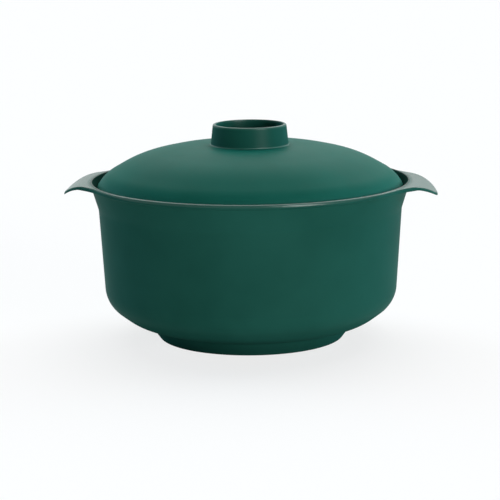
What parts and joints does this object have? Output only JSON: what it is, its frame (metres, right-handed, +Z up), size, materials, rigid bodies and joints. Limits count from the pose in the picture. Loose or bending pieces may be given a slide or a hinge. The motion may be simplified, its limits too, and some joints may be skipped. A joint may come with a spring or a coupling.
{
  "type": "lidded bowl",
  "caption": "Deep round moulded bowl with a flared rim, curled ear handles and a foot ring, covered by a loose low-domed lid that lifts off by an open ring knob.",
  "frame": {"origin": "on the bowl's axis, on the table plane under the foot ring", "axes": "+X towards one handle, +Z up along the bowl's axis, +Y away from the front"},
  "size_m": [0.2044, 0.176, 0.1174],
  "materials": {
    "bowl_plastic": "satin moulded plastic, smooth and slightly glossy on the rim and handles",
    "lid_plastic": "fine matte moulded plastic"
  },
  "bodies": {
    "bowl_body": {"bowl": "bowl_plastic"},
    "lid_body": {"lid": "lid_plastic"}
  },
  "joints": [
    {"name": "lid_lift", "type": "slide", "parent": "bowl_body", "child": "lid_body", "axis": [0, 0, 1], "range_m": [0, 0.1]}
  ]
}
